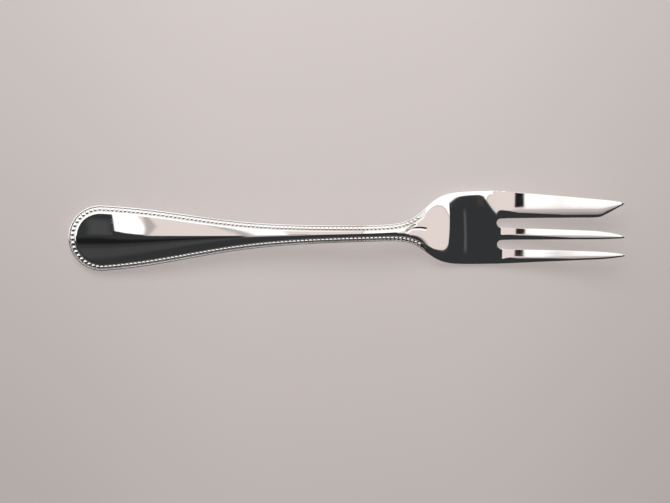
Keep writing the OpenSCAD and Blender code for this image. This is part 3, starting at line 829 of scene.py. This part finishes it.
# Painted shade: the near colour is darker, for the light falling off towards the near side
near_shaded_paint, far_lit_paint, paint_reach = (0.605, 0.562, 0.55), (0.66, 0.617, 0.605), 0.09
table_near_shade.inputs["A"].default_value = near_shaded_paint + (1,)
table_near_shade.inputs["B"].default_value = far_lit_paint + (1,)
tree.links.new(between(tree, split.outputs["Y"], -paint_reach, paint_reach), table_near_shade.inputs["Factor"])
table_side_shade = tree.nodes.new("ShaderNodeMix")
table_side_shade.data_type = "RGBA"
table_side_shade.inputs["B"].default_value = (0, 0, 0, 1)
tree.links.new(table_near_shade.outputs["Result"], table_side_shade.inputs["A"])
# More painted shade, darkening the paint further out to the left and right
fade_from, fade_to, fade = 0.02, 0.11, 0.12
tree.links.new(between(tree, maths(tree, "ABSOLUTE", split.outputs["X"]), fade_from, fade_to, 0, fade),
               table_side_shade.inputs["Factor"])
tree.links.new(table_side_shade.outputs["Result"], shader.inputs["Base Color"])
shader.inputs["Roughness"].default_value = 0.7
shader.inputs["Specular IOR Level"].default_value = 0.2
table = bpy.data.objects.new("table", bpy.data.meshes.new("table"))
table_half = 4
table_corners = [(-table_half, -table_half, 0), (table_half, -table_half, 0), (table_half, table_half, 0),
                 (-table_half, table_half, 0)]
table.data.from_pydata(table_corners, [], [[0, 1, 2, 3]])
table.data.materials.append(table_paint)
bpy.context.scene.collection.objects.link(table)


# ==== Studio ====
# A tent of white cloth and dark cards over the table, which only the metal mirrors: white cloth to the
# north, a dark room to the south, a dark stand overhead, and pale walls to the east and west.
tent_radius, ring_count, ring_points = 0.8, 46, 90
rise = np.radians(np.linspace(0, 90, ring_count))[:, None]
turn = np.radians(np.linspace(0, 360, ring_points + 1))[:-1]
tent_points = tent_radius * np.stack([np.cos(rise) * np.cos(turn), np.cos(rise) * np.sin(turn),
                                      np.sin(rise) * np.ones_like(turn)], axis=-1)
tent_faces = []
for low_ring in range(0, (ring_count - 1) * ring_points, ring_points):
    for k in range(ring_points):
        after = (k + 1) % ring_points
        high_ring = low_ring + ring_points
        tent_faces.append([low_ring + k, high_ring + k, high_ring + after, low_ring + after])
tent = bpy.data.objects.new("tent", bpy.data.meshes.new("tent"))
tent.data.from_pydata(tent_points.reshape(-1, 3).tolist(), [], tent_faces)
tent.visible_camera = False
tent.visible_diffuse = False
tent.visible_shadow = False
bpy.context.scene.collection.objects.link(tent)
tent_cloth = bpy.data.materials.new("tent_cloth")
tent_cloth.use_nodes = True
tent_cloth.cycles.emission_sampling = "NONE"
tent.data.materials.append(tent_cloth)
tent_tree = tent_cloth.node_tree
tent_tree.nodes.remove(tent_tree.nodes["Principled BSDF"])
glow = tent_tree.nodes.new("ShaderNodeEmission")
tent_tree.links.new(glow.outputs["Emission"], tent_tree.nodes["Material Output"].inputs["Surface"])
split = tent_tree.nodes.new("ShaderNodeSeparateXYZ")
tent_tree.links.new(tent_tree.nodes.new("ShaderNodeTexCoord").outputs["Object"], split.inputs["Vector"])
turn_to_east = maths(tent_tree, "ARCTAN2", split.outputs["X"], split.outputs["Z"])
turn_to_north = maths(tent_tree, "ARCTAN2", split.outputs["Y"], split.outputs["Z"])
east = maths(tent_tree, "MULTIPLY", turn_to_east, 180 / math.pi)
north = maths(tent_tree, "MULTIPLY", turn_to_north, 180 / math.pi)
# The light that the white cloth and each kind of card give back
WHITE, PINK, SHADE = (1.3, 1.29, 1.27), (0.88, 0.78, 0.74), (0.6, 0.54, 0.52)
SEAM, DUSK, GREY = (0.5, 0.46, 0.45), (0.36, 0.33, 0.32), (0.075, 0.074, 0.076)
DARK, BLACK = (0.036, 0.038, 0.04), (0.012, 0.012, 0.013)
EDGE, FOOT, FLOOR = (0.1, 0.1, 0.105), (0.06, 0.05, 0.047), (0.062, 0.062, 0.064)


def card(below, colour, corners, soft=0.5):
    """Lays a flat card over what is below, or over white cloth where that is None. Its corners are degrees
    east and north of overhead, against the clock, and its edges fade over soft degrees.

    The distance in from an edge is the turned and shifted sum of both angles, and the least of them
    counts."""
    inside = None
    for (e0, n0), (e1, n1) in zip(corners, corners[1:] + corners[:1]):
        length = math.hypot(e1 - e0, n1 - n0)
        de, dn = (e1 - e0) / length, (n1 - n0) / length
        north_part = maths(tent_tree, "MULTIPLY", north, de)
        east_part = maths(tent_tree, "MULTIPLY", east, -dn)
        side = maths(tent_tree, "ADD", north_part, east_part)
        edge = de * n0 - dn * e0
        side = between(tent_tree, side, edge - soft / 2, edge + soft / 2)
        inside = side if inside is None else maths(tent_tree, "MINIMUM", inside, side)
    layer = tent_tree.nodes.new("ShaderNodeMix")
    layer.data_type = "RGBA"
    tent_tree.links.new(inside, layer.inputs["Factor"])
    if below is None:
        layer.inputs["A"].default_value = WHITE + (1,)
    else:
        tent_tree.links.new(below, layer.inputs["A"])
    layer.inputs["B"].default_value = colour + (1,)
    return layer.outputs["Result"]


# Pale east wall, its dark foot, and the white cloth in front of it with its hem
cloth = card(None, PINK, [(33, -70), (88, -70), (88, 45), (33, 45)], 8.0)
cloth = card(cloth, DARK, [(33, -86), (88, -86), (88, -32), (33, -32)], 8.0)
cloth = card(cloth, SEAM, [(30, -6.2), (37, -3.8), (44.3, -0.8), (50.2, 2.8), (52.4, 8), (52.4, 80),
                           (0, 80), (0, -6.2)], 0.4)
cloth = card(cloth, WHITE, [(30, -5.6), (36.6, -3.4), (43.9, -0.3), (49.7, 3.3), (51.8, 8.2), (51.8, 80),
                            (0, 80), (0, -5.6)], 0.4)
# Pale board past the stand to the west, the shade, dusk and dark corner below it, and a black clip on it
cloth = card(cloth, SEAM, [(-8, -3.6), (-2.1, -1.95), (-4.2, -1.0), (-6.2, -0.4), (-8, -0.1)], 0.5)
cloth = card(cloth, PINK, [(-8.2, -3.6), (-2.6, -2.0), (-4.5, -1.2), (-6.5, -0.65), (-8.2, -0.4)], 0.5)
cloth = card(cloth, SEAM, [(-8.2, -0.5), (-6.3, -0.5), (-6.4, 80), (-8.2, 80)], 0.5)
cloth = card(cloth, PINK, [(-13.2, -12), (-7.8, -12), (-6.7, -0.7), (-6.8, 80), (-13.2, 80)], 0.5)
cloth = card(cloth, SHADE, [(-30, -20), (-7.8, -20), (-7.8, -8), (-12.9, -3.6), (-30, -3.6)], 2.4)
cloth = card(cloth, DUSK, [(-30, -20), (-7.8, -20), (-7.8, -8.5), (-12.9, -7.2), (-30, -7.2)], 3.0)
cloth = card(cloth, DARK, [(-12.5, -12), (-7.5, -12), (-7.5, -3.65), (-9.5, -4.2), (-11, -5.3),
                           (-12.5, -8)], 0.6)
cloth = card(cloth, BLACK, [(-13.15, -3.05), (-12.05, -3.05), (-12.2, -0.5), (-13.2, -0.5)], 0.12)
# Dark camera stand overhead, with a lighter edge and a brownish foot on it
cloth = card(cloth, DARK, [(-7.8, -12), (40.5, -12), (34.6, -0.15), (15, -0.35), (2, -0.8), (-1, -1.45),
                           (-2.8, -2.05), (-7.8, -3.75)], 0.4)
cloth = card(cloth, EDGE, [(11, -8.8), (13.5, -8.8), (13.3, -3.0), (11.2, -3.0)], 1.4)
cloth = card(cloth, FOOT, [(-1, -2.6), (3.5, -2.4), (3, -1.1), (0, -1.5)], 0.8)
# White window to the west, left uncovered between a pale wall and a dark one with a lighter patch
cloth = card(cloth, PINK, [(-20.5, -4.4), (-15.4, -4.4), (-15.4, 15), (-20.1, 15), (-20.36, 3)], 0.25)
cloth = card(cloth, SEAM, [(-20.9, -4.4), (-20.5, -4.4), (-19.4, 3), (-19.0, 12), (-19.4, 12)], 0.3)
cloth = card(cloth, SEAM, [(-15.6, -4.4), (-14.9, -4.4), (-14.9, 15), (-15.6, 15)], 0.6)
cloth = card(cloth, DARK, [(-39, -6), (-25.3, -6), (-25.3, 8.5), (-39, 8.5)], 0.3)
cloth = card(cloth, GREY, [(-33.5, -4), (-26.5, -4), (-26.5, 4), (-33.5, 4)], 3.0)
cloth = card(cloth, DARK, [(-26, -6), (-20.5, -6), (-20.8, -3.6), (-25.3, -1.6), (-26, -1.6)], 0.3)
# Dark room to the south, its blackest part and its floor
cloth = card(cloth, DARK, [(-50, -12), (-15.4, -12), (-15.4, -4.2), (-50, -4.2)], 0.5)
cloth = card(cloth, DARK, [(-89, -90), (60, -90), (58.5, -45), (57, -28), (55.2, -22.5), (53, -19.7),
                           (50, -17.2), (46, -14.7), (42, -12.3), (38, -9.9), (-30, -9.7), (-50, -11),
                           (-89, -21)], 0.6)
cloth = card(cloth, BLACK, [(-40, -9), (-16, -8.6), (-16, -7.2), (-30, -5.6), (-40, -6)], 1.5)
cloth = card(cloth, FLOOR, [(-40, -17), (-16, -15), (-16, -10.5), (-40, -11)], 3.0)
tent_tree.links.new(cloth, glow.inputs["Color"])

# A soft box to the north, and a larger one without shadows as the fill from the cloth all round
lamp_place, lamp_colour = (-0.05, 0.42, 0.55), (1.0, 0.985, 0.975)
for lamp_name, size, energy, casts_shadow in (("north_softbox", (0.6, 0.35), 1.4, True),
                                              ("cloth_fill", (0.9, 0.6), 4.3, False)):
    lamp = bpy.data.lights.new(lamp_name, "AREA")
    lamp.shape, lamp.size, lamp.size_y, lamp.energy = "RECTANGLE", size[0], size[1], energy
    lamp.color, lamp.use_shadow = lamp_colour, casts_shadow
    lamp_object = bpy.data.objects.new(lamp_name, lamp)
    lamp_object.location = lamp_place
    lamp_object.rotation_euler = (-Vector(lamp_place)).to_track_quat("-Z", "Y").to_euler()
    lamp_object.visible_glossy = False
    bpy.context.scene.collection.objects.link(lamp_object)

# The room past the tent, at full strength where it is seen or mirrored and weaker where it only lights
room_colour, lighting_share = (0.60, 0.555, 0.54), 0.4
world = bpy.data.worlds.new("room")
world.use_nodes = True
bpy.context.scene.world = world
tree = world.node_tree
light_path = tree.nodes.new("ShaderNodeLightPath")
seen = light_path.outputs["Is Camera Ray"]
for ray in ("Is Glossy Ray", "Is Transmission Ray"):
    seen = maths(tree, "MAXIMUM", seen, light_path.outputs[ray])
strength = maths(tree, "ADD", maths(tree, "MULTIPLY", seen, 1 - lighting_share), lighting_share)
background = tree.nodes["Background"]
background.inputs["Color"].default_value = room_colour + (1,)
tree.links.new(strength, background.inputs["Strength"])
bpy.context.scene.view_settings.view_transform = "Standard"


# ==== Camera ====
# Half a metre over the fork and a little to its north, turned so that the fork rises slightly to the right.
camera_distance, camera_tilt, camera_roll = 0.5, math.radians(6.0), math.radians(1.55)
sensor_width, focal_pixels, picture_width = 36, 1848.5, 670
target = Vector((-0.0027, -0.0052, 0.004))
backward = Vector((0, math.sin(camera_tilt), math.cos(camera_tilt)))
up = Vector((0, math.cos(camera_tilt), -math.sin(camera_tilt)))
right = up.cross(backward)
turned_right = math.cos(camera_roll) * right - math.sin(camera_roll) * up
turned_up = math.sin(camera_roll) * right + math.cos(camera_roll) * up
camera = bpy.data.objects.new("camera", bpy.data.cameras.new("camera"))
camera.matrix_world = Matrix((turned_right, turned_up, backward)).transposed().to_4x4()
camera.location = target + backward * camera_distance
camera.data.sensor_width = sensor_width
camera.data.lens = sensor_width * focal_pixels / picture_width
camera.data.clip_start = 0.01
bpy.context.scene.collection.objects.link(camera)
bpy.context.scene.camera = camera
